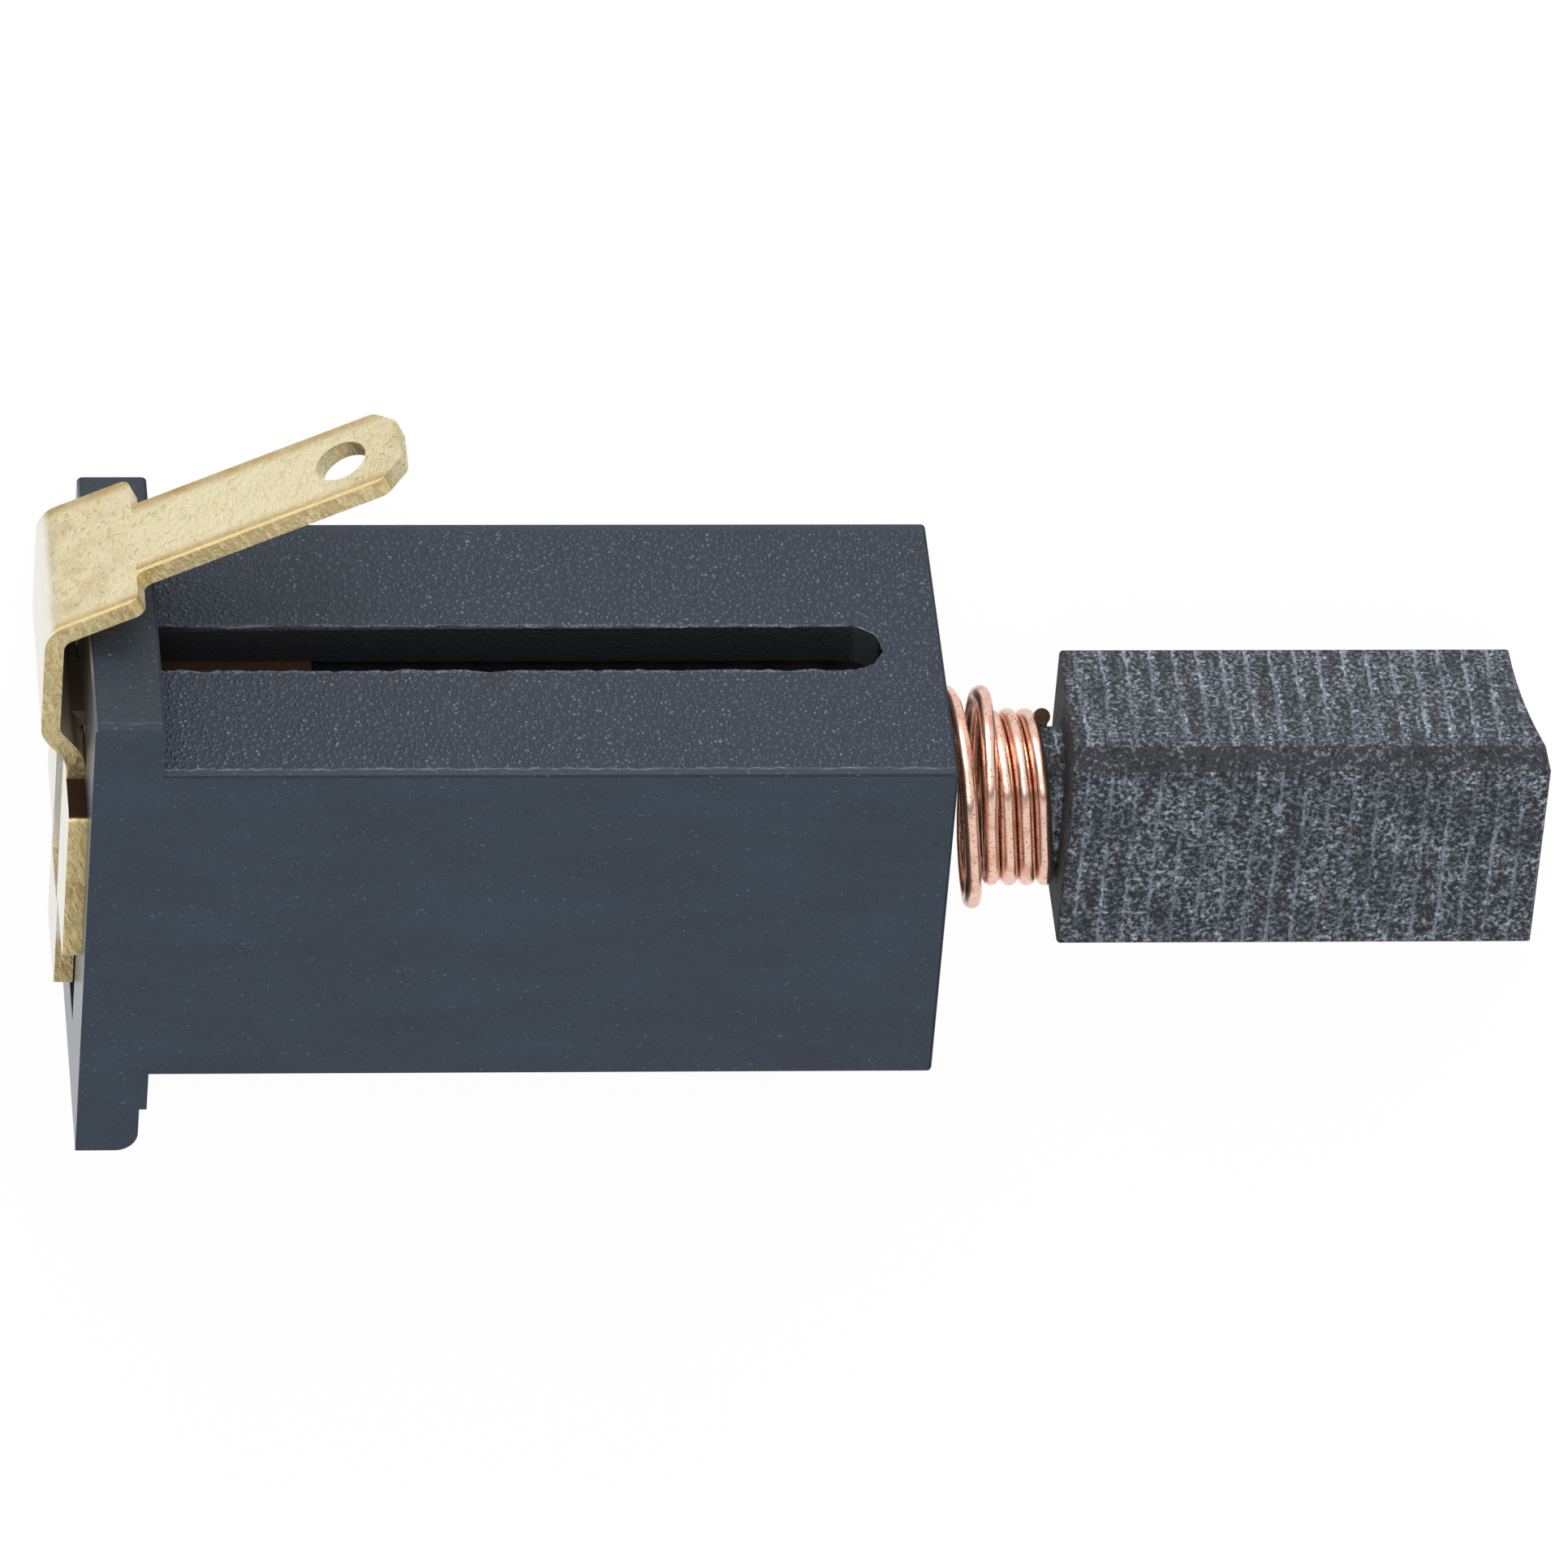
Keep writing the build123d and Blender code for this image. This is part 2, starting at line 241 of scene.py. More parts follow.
class BRUSH_PG_stage(bpy.types.PropertyGroup):
    """Floor, lights and camera."""

    floor_side: FloatProperty(
        name="Floor side",
        description="Side of the floor",
        default=6.0,
        subtype="DISTANCE",
        unit="LENGTH",
    )
    floor_colour: colour_property("Floor", "#fbfbfb", "Colour of the floor")
    focal_length: FloatProperty(
        name="Focal length",
        description="Lens in millimetres on a 36 mm frame",
        default=371.7,
        min=1,
    )


# Materials


def add_node(tree, kind, inputs=None, **settings):
    """A new node: settings are its attributes, inputs its sockets' values or outputs to link."""
    made = tree.nodes.new(kind)
    for name, value in settings.items():
        setattr(made, name, value)
    for name, value in (inputs or {}).items():
        if isinstance(value, bpy.types.NodeSocket):
            tree.links.new(value, made.inputs[name])
        else:
            made.inputs[name].default_value = value
    return made


def new_material(name):
    """An empty node material, its tree and its output node."""
    material = bpy.data.materials.new(name)
    material.use_nodes = True
    tree = material.node_tree
    tree.nodes.clear()
    return material, tree, add_node(tree, "ShaderNodeOutputMaterial")


def finish_surface(tree, output, height, strength, depth, inputs):
    """A principled shader with these inputs and a bump of this height, set as the surface."""
    relief = {"Height": height, "Strength": strength, "Distance": depth}
    bump = add_node(tree, "ShaderNodeBump", relief)
    inputs = {**inputs, "Normal": bump.outputs["Normal"]}
    shader = add_node(tree, "ShaderNodeBsdfPrincipled", inputs)
    tree.links.new(shader.outputs["BSDF"], output.inputs["Surface"])


def folded(tree, operation, values):
    """The values taken in turn into one result by the same operation."""
    result = values[0]
    for value in values[1:]:
        step = add_node(tree, "ShaderNodeMath", {0: result, 1: value}, operation=operation)
        result = step.outputs["Value"]
    return result


def total(tree, *values):
    """All the values added."""
    return folded(tree, "ADD", values)


def difference(tree, *values):
    """The first value less the others."""
    return folded(tree, "SUBTRACT", values)


def product(tree, *values):
    """All the values multiplied."""
    return folded(tree, "MULTIPLY", values)


def highest(tree, *values):
    """The highest of the values."""
    return folded(tree, "MAXIMUM", values)


def apart(tree, value, place=0.0):
    """How far the value is from the place, on either side of it."""
    offset = difference(tree, value, place)
    return add_node(tree, "ShaderNodeMath", {0: offset}, operation="ABSOLUTE").outputs["Value"]


def region(tree, *limits):
    """1 where each value lies between its two limits in millimetres, else 0. None is no limit."""
    tests = []
    for value, low, high in limits:
        for limit, operation in ((low, "GREATER_THAN"), (high, "LESS_THAN")):
            if limit is not None:
                pair = {0: value, 1: limit * MM}
                test = add_node(tree, "ShaderNodeMath", pair, operation=operation)
                tests.append(test.outputs["Value"])
    return product(tree, *tests)


def between(tree, value, low, high):
    """0 where the value is below low, 1 above high, and a smooth rise from one to the other."""
    ramp = add_node(
        tree,
        "ShaderNodeMapRange",
        {"Value": value, "From Min": low, "From Max": high},
        interpolation_type="SMOOTHSTEP",
    )
    return ramp.outputs["Result"]


def level(tree, share, first, second):
    """Number that goes from the first to the second with the share."""
    # Sockets 2 and 3 of the Mix node are its two numbers, and output 0 is their mix
    inputs = {"Factor": share, 2: first, 3: second}
    return add_node(tree, "ShaderNodeMix", inputs, data_type="FLOAT").outputs[0]


def rgba(colour):
    """What a colour socket takes: a node's colour as it is, or three numbers and a full alpha."""
    return colour if isinstance(colour, bpy.types.NodeSocket) else (*colour, 1.0)


def toned(colour, *shares):
    """The colour times one share, or times a share each for red, green and blue."""
    shares = shares * 3 if len(shares) == 1 else shares
    return tuple(min(1.0, part * share) for part, share in zip(colour, shares))


def painted(tree, base, *coats):
    """Base colour under coats laid on in turn: each has the share that it covers and its colour."""
    for share, coat in coats:
        # Sockets 6 and 7 of the Mix node are its two colours, and output 2 is their mix
        inputs = {"Factor": share, 6: rgba(base), 7: rgba(coat)}
        mix = add_node(tree, "ShaderNodeMix", inputs, data_type="RGBA", blend_type="MIX")
        base = mix.outputs[2]
    return base


def stretched(tree, place, scale, turn=(0, 0, 0)):
    """The place turned, then scaled along its three axes."""
    inputs = {"Vector": place, "Scale": scale, "Rotation": turn}
    return add_node(tree, "ShaderNodeMapping", inputs).outputs["Vector"]


def spots(tree, place, size, low, high, detail=2.0, roughness=0.5):
    """Noise with features of about that size, stretched from low and high to 0 and 1."""
    inputs = {"Vector": place, "Scale": 1 / size, "Detail": detail, "Roughness": roughness}
    pattern = add_node(tree, "ShaderNodeTexNoise", inputs)
    return between(tree, pattern.outputs["Fac"], low, high)


def dots(tree, plan, spacing, reach, core):
    """Round dots about that far apart: 1 within core and 0 beyond reach, as shares of spacing."""
    inputs = {"Vector": plan, "Scale": 1 / spacing}
    cells = add_node(tree, "ShaderNodeTexVoronoi", inputs, voronoi_dimensions="2D")
    return between(tree, cells.outputs["Distance"], reach, core)


def surface(tree):
    """Object place, its three parts, and the three parts of the object normal."""
    coordinates = add_node(tree, "ShaderNodeTexCoord").outputs
    place = coordinates["Object"]
    parts = add_node(tree, "ShaderNodeSeparateXYZ", {"Vector": place}).outputs
    normal = add_node(tree, "ShaderNodeSeparateXYZ", {"Vector": coordinates["Normal"]}).outputs
    return place, parts, normal


def edge_share(tree, normal, low, high):
    """1 on rounded edges, where the normal leans away from all three axes."""
    flat = highest(tree, *(apart(tree, normal[axis]) for axis in "XYZ"))
    return difference(tree, 1.0, between(tree, flat, low, high))


def spark_eroded_plastic(values):
    """Glass-filled PBT, moulded in a spark-eroded tool.

    Blue-black, beaded in clusters on the slotted side, and nearly smooth with fine
    pale specks on the two sides beside it. The beads get painted highlights on their
    tips and painted shade between them. A thin pale line runs where the grain ends,
    and another along the slot. The ear, the rounded edges and the plain band beside
    the long edges are painted darker as shade, and the flange's back edge and the
    faces that look backwards get a painted highlight. The bore and the slot are
    painted almost black as shade, and the back behind the strip is painted brown as
    the shade in the gap.
    """
    material, tree, output = new_material("PBT_spark_eroded")
    place, parts, normal = surface(tree)
    away_y = apart(tree, parts["Y"])
    away_z = apart(tree, parts["Z"], AXIS_Z * MM)

    # Where the grain is, and the other patches
    upward = between(tree, normal["Y"], 0.8, 0.97)
    sleeve = region(tree, (parts["X"], 0.0, None))
    waver = product(tree, difference(tree, spots(tree, place, 0.4 * MM, 0.3, 0.7), 0.5), 0.08 * MM)
    from_end = total(tree, difference(tree, away_z, HALF_SIDE * MM - values.plain_edge), waver)
    grained = product(tree, upward, sleeve, between(tree, from_end, 0.02 * MM, -0.02 * MM))
    line = product(
        tree,
        upward,
        between(tree, parts["Z"], (AXIS_Z - 1) * MM, (AXIS_Z + 1) * MM),
        between(tree, apart(tree, from_end), 0.06 * MM, 0.0),
        level(tree, spots(tree, place, 0.3 * MM, 0.4, 0.6), 0.35, 1.0),
    )
    from_slot = difference(tree, total(tree, away_z, waver), SLOT_HALF * MM)
    lip = product(
        tree,
        upward,
        sleeve,
        between(tree, from_slot, 0.12 * MM, 0.04 * MM),
        region(tree, (parts["X"], None, SLOT_END_X - SLOT_HALF)),
        spots(tree, place, 0.1 * MM, 0.35, 0.65),
    )
    # Painted shade: the bore and the slot are painted almost black
    inside = region(
        tree,
        (away_y, None, HALF_SIDE - 0.03),
        (away_z, None, HALF_SIDE - 0.1),
        (parts["X"], BACK_X + INSIDE_MARGIN, MOUTH_X - INSIDE_MARGIN),
    )
    # Painted shade in the gap behind the strip, brown as from the brass beside it
    shade_behind_strip = product(
        tree,
        region(tree, (parts["X"], None, BACK_X + INSIDE_MARGIN), (parts["Y"], 2.0, None)),
        between(tree, away_z, (STRIP_HALF + 0.9) * MM, (STRIP_HALF - 0.1) * MM),
    )
    # Painted reflection: faces that look backwards are painted paler
    rear_reflection = between(tree, normal["X"], -0.4, -0.8)
    # Painted shade: rounded edges are painted darker
    corner = edge_share(tree, normal, 0.9, 0.99)
    # Painted highlight along the flange's back edge
    back_edge_highlight = product(
        tree,
        corner,
        between(tree, normal["X"], -0.2, -0.4),
        between(tree, normal["Z"], 0.2, 0.4),
    )
    # Painted shade: the plain band beside the long edges is painted darker, like the side
    shaded_plain_band = product(
        tree,
        upward,
        difference(tree, 1.0, grained),
        between(tree, away_z, 4.0 * MM, 4.5 * MM),
    )
    # Painted shadow of the strip: the ear's top is painted darker
    shaded_ear = product(tree, upward, difference(tree, 1.0, sleeve))

    # Beads of two sizes in clusters, and finer patterns
    plan = add_node(tree, "ShaderNodeCombineXYZ", {"X": parts["X"], "Y": parts["Z"]})
    plan = plan.outputs["Vector"]
    clusters = level(tree, spots(tree, place, 0.9 * MM, 0.35, 0.65, detail=3), 0.45, 1.0)
    beads = highest(
        tree,
        product(tree, clusters, dots(tree, plan, values.grain, 0.45, 0.05)),
        product(tree, dots(tree, plan, values.grain * 0.62, 0.4, 0.05), 0.45),
    )
    # Glints are painted highlights on the bead tips
    glints = product(
        tree,
        dots(tree, plan, values.grain, 0.28, 0.05),
        spots(tree, place, values.grain * 2, 0.5, 0.7, detail=3),
    )
    fine = spots(tree, place, values.grain * 0.3, 0.25, 0.75, detail=2)
    drawn_out = stretched(tree, place, (0.35, 1, 1))
    clouds = spots(tree, drawn_out, 1.2 * MM, 0.3, 0.7, detail=6, roughness=0.6)
    specks = spots(tree, place, 0.09 * MM, 0.7, 0.78, detail=1)
    pores = spots(tree, place, 0.12 * MM, 0.64, 0.72, detail=1)
    # Partly real wear on the lines, the slot's lip and the fibre specks, partly painted highlight
    # on bead tips, the back edge and backward faces
    wear_and_highlight = highest(
        tree,
        product(tree, glints, grained, 0.4),
        product(tree, specks, 0.28),
        product(tree, line, level(tree, sleeve, 0.08, 0.25)),
        product(tree, lip, 0.3),
        product(tree, back_edge_highlight, level(tree, fine, 0.5, 0.9)),
        product(tree, rear_reflection, 0.3),
    )

    # Colours, from the body outwards
    darker = toned(values.colour, 0.7)
    lighter = toned(values.colour, 1.25)
    edge_tone = toned(values.colour, 0.45)
    # Painted light and shade on the grain: bead tips paler, the valleys between them darker
    lit_bead_tone = toned(values.colour, 1.9, 2.0, 2.1)
    valley_shade_tone = toned(values.colour, 0.42, 0.45, 0.5)
    shaded_valleys = painted(tree, valley_shade_tone, (clouds, edge_tone))
    colour = painted(
        tree,
        darker,
        (level(tree, 0.5, clouds, fine), lighter),
        (product(tree, pores, 0.5), edge_tone),
        (grained, painted(tree, shaded_valleys, (beads, lit_bead_tone))),
        (shaded_plain_band, darker),
        (shaded_ear, painted(tree, edge_tone, (fine, darker))),
        (corner, edge_tone),
        (wear_and_highlight, values.wear_and_highlight_colour),
        (inside, values.shaded_colour),
        (shade_behind_strip, values.gap_shade_colour),
    )
    grain_height = total(tree, product(tree, fine, 0.2), beads)
    height = level(tree, grained, product(tree, fine, 0.12), grain_height)
    inputs = {
        "Base Color": colour,
        "Roughness": level(tree, corner, level(tree, rear_reflection, 0.55, 0.25), 0.95),
        "IOR": 1.5,
        "Specular IOR Level": 0.4,
    }
    finish_surface(tree, output, height, 1.0, 0.09 * MM, inputs)
    return material


def rolled_brass(values):
    """CuZn37 sheet, cold rolled, then blanked and folded.

    Pale and satin on the rolled faces, with fine scratches and faint stains. The
    faces roll over toward their sheared edges, where they are deeper gold up to a
    ridge with a painted highlight on the near side. The sheared edges have short,
    upright grooves. The faces that look backwards get a pale painted reflection.
    The leg inside the holder, the strip's inner side and the corner behind the jog
    are painted brown as shade.
    """
    material, tree, output = new_material("Brass_rolled_and_sheared")
    place, parts, normal = surface(tree)
    away_z = apart(tree, parts["Z"], AXIS_Z * MM)

    # Sheared edges, but not the ones round the window that the leg is cut from
    side = apart(tree, normal["Z"])
    window = product(
        tree,
        region(tree, (away_z, None, WINDOW_HALF), (parts["Y"], None, LEG_FOOT_Y)),
        between(tree, parts["Y"], *(y * MM for y in WINDOW_FOOT_Y)),
    )
    sheared = product(tree, between(tree, side, 0.75, 0.95), difference(tree, 1.0, window))

    # Distance from the bend along the tab, and from the strip's or the tab's long edges
    from_bend_x = difference(tree, parts["X"], STRIP_X * MM)
    from_bend_y = difference(tree, parts["Y"], BEND_Y * MM)
    run = total(
        tree,
        product(tree, from_bend_x, math.cos(TAB_ANGLE)),
        product(tree, from_bend_y, math.sin(TAB_ANGLE)),
    )
    on_tab = region(tree, (run, SHOULDER_U, None))
    to_edge = difference(tree, level(tree, on_tab, STRIP_HALF * MM, TAB_HALF * MM), away_z)
    above = region(tree, (parts["Y"], JOG_TOP_Y, None))
    roll_over = product(tree, between(tree, to_edge, 0.55 * MM, 0.1 * MM), above)
    # Painted highlight along the rounded edge, on the near side only
    ridge = product(
        tree,
        between(tree, to_edge, 0.16 * MM, 0.1 * MM),
        above,
        region(tree, (parts["Z"], AXIS_Z, None)),
        difference(tree, 1.0, sheared),
    )

    # Patterns, drawn along the tab
    along_tab = stretched(tree, place, (1, 1, 1), (0, 0, -TAB_ANGLE))
    rolled_place = stretched(tree, along_tab, (1, 1, 0.6))
    flecks = spots(tree, rolled_place, 0.12 * MM, 0.42, 0.68, detail=5, roughness=0.75)
    mottle = spots(tree, place, 0.9 * MM, 0.35, 0.7, detail=6, roughness=0.65)
    pits = spots(tree, place, 0.07 * MM, 0.64, 0.72, detail=2)
    groove_place = stretched(tree, along_tab, (1, 0.3, 0.6))
    grooves = spots(tree, groove_place, 0.13 * MM, 0.36, 0.66, detail=4, roughness=0.7)
    handled = between(tree, apart(tree, run, RUBBED_U * MM), 1.5 * MM, 4.8 * MM)
    stain = highest(
        tree,
        product(tree, flecks, level(tree, handled, 0.6, 1.0), level(tree, mottle, 0.5, 1.0)),
        product(tree, mottle, handled, 0.5),
        product(tree, pits, 0.3),
        product(tree, roll_over, level(tree, mottle, 0.6, 0.95)),
    )
    torn = product(tree, difference(tree, 1.0, grooves), level(tree, mottle, 0.3, 0.9))
    plate = between(tree, parts["Y"], *(y * MM for y in PLATE_TOP_Y))

    # Painted shade: the leg's root and the leg, the strip's inner side, the corner behind the jog
    root = region(tree, (away_z, None, ROOT_HALF), (parts["X"], ROOT_X, None))
    leg = product(
        tree,
        highest(tree, root, region(tree, (parts["X"], BACK_X, None))),
        region(tree, (parts["Y"], LEG_FOOT_Y, LEG_TOP_Y)),
    )
    facing_in = product(
        tree,
        between(tree, normal["X"], 0.4, 0.7),
        region(tree, (parts["Y"], None, INNER_TOP_Y)),
    )
    corner = product(
        tree,
        between(tree, apart(tree, parts["Y"], JOG_Y * MM), 0.9 * MM, 0.6 * MM),
        between(tree, normal["Y"], 0.4, 0.7),
        region(tree, (parts["X"], JOG_X, None)),
    )
    dark = highest(tree, leg, facing_in, corner)
    # Behind the holder's back the painted shade takes the gap's colour, inside it the leg's
    at_back = between(tree, parts["X"], *(x * MM for x in LEG_BACK_X))
    # Painted reflection: backward faces and the window's sides are painted near white
    rear_reflection = highest(tree, between(tree, normal["X"], -0.6, -0.9), product(tree, window, side))

    # Colours, from the rolled face outwards
    edges = painted(
        tree,
        values.sheared_colour,
        (torn, values.torn_colour),
        # The plate's sheared grooves take the same pale gold, toned down
        (product(tree, plate, grooves, 0.9), toned(values.ridge_highlight_colour, 0.72)),
    )
    colour = painted(
        tree,
        values.colour,
        (stain, values.stain_colour),
        (sheared, edges),
        (product(tree, ridge, 0.8), values.ridge_highlight_colour),
        (product(tree, rear_reflection, 0.75), values.rear_reflection_colour),
        (dark, painted(tree, values.leg_shade_colour, (at_back, values.gap_shade_colour))),
        (corner, toned(values.leg_shade_colour, 0.5)),
    )
    face_height = total(tree, product(tree, flecks, -0.6), product(tree, mottle, 0.5))
    height = level(tree, sheared, face_height, grooves)
    satin = level(tree, ridge, level(tree, stain, 0.4, 0.55), 0.25)
    inputs = {
        "Base Color": colour,
        "Metallic": 1.0,
        "Roughness": level(tree, dark, satin, 0.8),
    }
    finish_surface(tree, output, height, 0.6, 0.03 * MM, inputs)
    return material


def drawn_copper(values):
    """Steel spring wire with drawn copper plating.

    Pink and bright, with fine lines along the wire and small dull spots. The turns
    inside the holder and the cut end are painted dark as shade.
    """
    material, tree, output = new_material("Copper_plated_wire")
    place, parts, _ = surface(tree)
    along = add_node(tree, "ShaderNodeUVMap", uv_map="Along the wire").outputs["UV"]
    from_end = add_node(tree, "ShaderNodeSeparateXYZ", {"Vector": along}).outputs["X"]
    cut = region(tree, (from_end, None, 0.0001))
    # Painted shade: the turns in the holder and the cut end are painted dark
    in_holder = between(tree, parts["X"], (MOUTH_X - 0.3) * MM, (MOUTH_X - 2.4) * MM)
    lines = spots(tree, stretched(tree, along, (0.02, 1, 1)), 0.04 * MM, 0.3, 0.7)
    dull = spots(tree, place, 0.5 * MM, 0.42, 0.75, detail=4)
    pits = spots(tree, place, 0.08 * MM, 0.61, 0.68, detail=1)
    tarnish = highest(tree, product(tree, dull, 0.5), product(tree, pits, 0.8))
    colour = painted(
        tree,
        values.colour,
        (tarnish, values.tarnish_colour),
        (product(tree, in_holder, 0.85), values.shaded_colour),
        (cut, values.shaded_colour),
    )
    inputs = {
        "Base Color": colour,
        "Metallic": 1.0,
        "Roughness": level(tree, tarnish, 0.24, 0.42),
    }
    finish_surface(tree, output, lines, 0.25, 0.006 * MM, inputs)
    return material


def ground_graphite(values):
    """Electrographite, pressed, sawn and ground.

    Dark and granular, with pale specks, and thin pale marks across the block at an
    even distance where the wheel stepped along. The bevel has none, and is painted
    darker as shade.
    """
    material, tree, output = new_material("Graphite_ground")
    place, parts, normal = surface(tree)
    upper = between(tree, normal["Y"], 0.85, 0.97)
    flank = between(tree, apart(tree, normal["Z"]), 0.85, 0.97)
    bevel = difference(tree, 1.0, upper, flank)
    across = difference(tree, 1.0, bevel)

    # The wheel's marks, as the crests of a swaying wave along the block, and the dust beside them
    sway = spots(tree, place, 0.15 * MM, 0.2, 0.8, detail=3)
    phase = total(tree, product(tree, parts["X"], 2 * math.pi / values.streak), sway)
    late = difference(tree, phase, WAKE_LAG)
    wave, late_wave = (
        add_node(tree, "ShaderNodeMath", {0: angle}, operation="SINE").outputs["Value"]
        for angle in (phase, late)
    )
    mark = between(tree, wave, 0.8, 0.98)
    wake = between(tree, late_wave, 0.0, 1.0)

    # Patterns of the grain, in the block and drawn across it
    long_place = stretched(tree, place, (0.6, 0.5, 0.5))
    broken = spots(tree, long_place, 0.4 * MM, 0.34, 0.54, detail=6, roughness=0.75)
    wide_place = stretched(tree, place, (1, 0.6, 0.6))
    patches = spots(tree, wide_place, 0.7 * MM, 0.36, 0.64, detail=5)
    grains = spots(tree, place, 0.13 * MM, 0.43, 0.6, detail=5, roughness=0.75)
    thin_place = stretched(tree, place, (1, 0.3, 0.3))
    upright = spots(tree, thin_place, 0.09 * MM, 0.45, 0.65, detail=3, roughness=0.6)
    holes = spots(tree, place, 0.2 * MM, 0.56, 0.66, detail=4, roughness=0.6)
    big_holes = spots(tree, place, 0.4 * MM, 0.66, 0.71, detail=4)
    faded = spots(tree, place, 2.2 * MM, 0.4, 0.6)
    marked = product(
        tree,
        mark,
        broken,
        level(tree, grains, 0.5, 1.0),
        level(tree, faded, 0.45, 1.0),
        0.95,
    )
    dusted = product(tree, wake, broken, grains, 0.75)
    lined = product(
        tree,
        upright,
        grains,
        level(tree, patches, 0.3, 0.75),
        level(tree, flank, 0.8, 1.3),
    )
    speckled = product(
        tree,
        grains,
        level(tree, patches, 0.25, 0.6),
        level(tree, flank, 0.9, 1.35),
    )
    ground = highest(tree, marked, dusted, lined)
    pale = highest(tree, product(tree, ground, across), speckled)
    pores = highest(tree, product(tree, holes, 0.65), product(tree, big_holes, 0.85))

    # Painted shade: the bevel is painted darker
    brown = painted(tree, values.dark_colour, (product(tree, grains, 0.6), values.bevel_shade_colour))
    colour = painted(
        tree,
        values.dark_colour,
        (pale, values.pale_colour),
        (product(tree, bevel, 0.75), brown),
        (pores, values.pore_colour),
    )
    raised = total(tree, grains, product(tree, mark, across, 0.6))
    inputs = {"Base Color": colour, "Roughness": 0.65, "IOR": 1.5, "Specular IOR Level": 0.3}
    finish_surface(tree, output, difference(tree, raised, pores), 0.9, 0.05 * MM, inputs)
    return material


# Meshes


def in_scene(name, data):
    """A new object that carries this mesh, lamp or camera, in the scene."""
    made = bpy.data.objects.new(name, data)
    bpy.context.scene.collection.objects.link(made)
    return made


def ragged_slot(shape):
    """Cut the slot's upper rim into short edges and shift their ends sideways, as by the grain.

    Each end moves across the slot by three octaves of noise, and by as much along
    it on the round end. The seed makes the noise the same in each run. A cut below
    the rim keeps the slot's walls under it flat.
    """
    noise.seed_set(RIM_SEED)
    top = HALF_SIDE * MM
    tiny = 0.005 * MM
    reach = SLOT_HALF * MM + 2 * tiny

    def on_rim(point):
        across = abs(point.z - AXIS_Z * MM)
        along = RIM_START_X * MM < point.x < SLOT_END_X * MM + tiny
        return abs(point.y - top) < tiny and across < reach and along

    def rim_edge(edge):
        middle = (edge.verts[0].co + edge.verts[1].co) / 2
        return on_rim(middle) and edge.calc_face_angle(0) > 1.0

    bmesh.ops.bisect_plane(
        shape,
        geom=[*shape.verts, *shape.edges, *shape.faces],
        plane_co=(0, top - RIM_DEPTH * MM, 0),
        plane_no=(0, 1, 0),
        dist=0.001 * MM,
    )
    for edge in [edge for edge in shape.edges if rim_edge(edge)]:
        cuts = int(edge.calc_length() / (RIM_STEP * MM))
        if cuts:
            bmesh.ops.subdivide_edges(shape, edges=[edge], cuts=cuts)
    for vertex in shape.verts:
        if on_rim(vertex.co):
            place = vertex.co / MM
            shift = Vector((0.0, 0.0, 0.0))
            for size, height in RIM_OCTAVES:
                shift += noise.noise_vector(place / size) * height * MM
            round_end = vertex.co.x > (SLOT_END_X - SLOT_HALF) * MM
            vertex.co.x += shift.x if round_end else 0.0
            vertex.co.z += shift.z


def rounded_copy(node, name, material, edge_round, body, wear=None):
    """A merged copy of a CAD node with a small round on its crisp edges, standing for that node.

    The loose triangles are welded, flat neighbours become one face, and the Bevel
    modifier rounds each edge where two faces meet at more than ROUND_ANGLE. Wear,
    where it is given, changes the merged shape before that.
    """
    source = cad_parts[node]
    shape = bmesh.new()
    shape.from_mesh(source.data)
    bmesh.ops.remove_doubles(shape, verts=shape.verts, dist=WELD)
    bmesh.ops.dissolve_limit(shape, angle_limit=FLAT_ANGLE, verts=shape.verts, edges=shape.edges)
    if wear:
        wear(shape)
    for face in shape.faces:
        face.smooth = True
    for edge in shape.edges:
        edge.smooth = edge.is_manifold and edge.calc_face_angle(0) < SMOOTH_ANGLE
    mesh = bpy.data.meshes.new(name)
    shape.to_mesh(mesh)
    shape.free()
    mesh.materials.append(material)
    piece = in_scene(name, mesh)
    bevel = piece.modifiers.new("Edge round", "BEVEL")
    bevel.width = edge_round
    bevel.segments = 2
    bevel.limit_method = "ANGLE"
    bevel.angle_limit = ROUND_ANGLE
    bevel.harden_normals = True
    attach(piece, body)
    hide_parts(node)
    return piece


